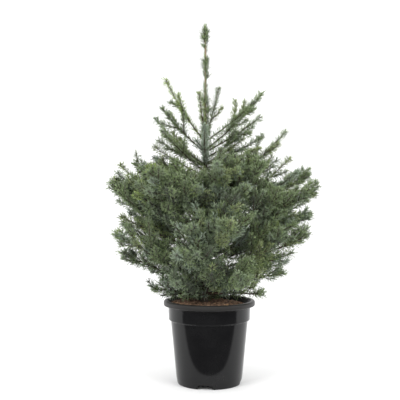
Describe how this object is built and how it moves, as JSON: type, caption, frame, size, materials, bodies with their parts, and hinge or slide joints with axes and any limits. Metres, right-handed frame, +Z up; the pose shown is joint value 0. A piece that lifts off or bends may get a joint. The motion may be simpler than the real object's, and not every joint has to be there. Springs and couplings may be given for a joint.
{
  "type": "potted serbian spruce",
  "caption": "Young Serbian spruce tree in a round black plastic nursery pot: upright trunk, rising tapering boughs, separate masses of needle sprays, bark mulch.",
  "frame": {"origin": "middle of the flat underside of the pot, on the surface it stands on", "axes": "+Z up along the trunk, +X to the right of the front view, +Y to the back"},
  "size_m": [0.5223, 0.4981, 0.904],
  "materials": {
    "black_plastic": "satin",
    "bark_mulch": "matte",
    "trunk_bark": "matte",
    "bough_bark": "matte",
    "needles": "matte"
  },
  "bodies": {
    "root": {"pot": "black_plastic", "compost": "bark_mulch", "trunk": "trunk_bark", "bough_w1_left": "bough_bark", "bough_w1_right": "bough_bark", "bough_w1_front": "bough_bark", "bough_w1_back": "bough_bark", "bough_w2_left": "bough_bark", "bough_w2_right": "bough_bark", "bough_w2_front": "bough_bark", "bough_w2_back": "bough_bark", "bough_w3_left": "bough_bark", "bough_w3_right": "bough_bark", "bough_w3_front": "bough_bark", "bough_w3_back": "bough_bark", "bough_w4_left": "bough_bark", "bough_w4_right": "bough_bark", "bough_w4_front": "bough_bark", "bough_w5_left": "bough_bark", "bough_w5_right": "bough_bark", "bough_w5_back": "bough_bark", "bough_w6_front": "bough_bark", "bough_w6_right": "bough_bark", "bough_w6_back": "bough_bark", "foliage_w1_left": "needles", "foliage_w1_right": "needles", "foliage_w1_front": "needles", "foliage_w1_back": "needles", "foliage_w2_left": "needles", "foliage_w2_right": "needles", "foliage_w2_front": "needles", "foliage_w2_back": "needles", "foliage_w3_left": "needles", "foliage_w3_right": "needles", "foliage_w3_front": "needles", "foliage_w3_back": "needles", "foliage_w4_left": "needles", "foliage_w4_right": "needles", "foliage_w4_front": "needles", "foliage_w5_left": "needles", "foliage_w5_right": "needles", "foliage_w5_back": "needles", "foliage_w6_front": "needles", "foliage_w6_right": "needles", "foliage_w6_back": "needles", "foliage_w7_left": "needles", "foliage_w7_front": "needles", "foliage_w7_right": "needles", "foliage_w7_back": "needles", "foliage_w8_left": "needles", "foliage_w8_right": "needles", "foliage_w8_front": "needles", "foliage_w9_left": "needles", "foliage_w9_right": "needles", "foliage_w10_left": "needles", "foliage_w10_right": "needles", "foliage_w10_front": "needles", "foliage_w10_back": "needles", "foliage_leader": "needles", "foliage_sleeve": "needles"}
  },
  "joints": []
}
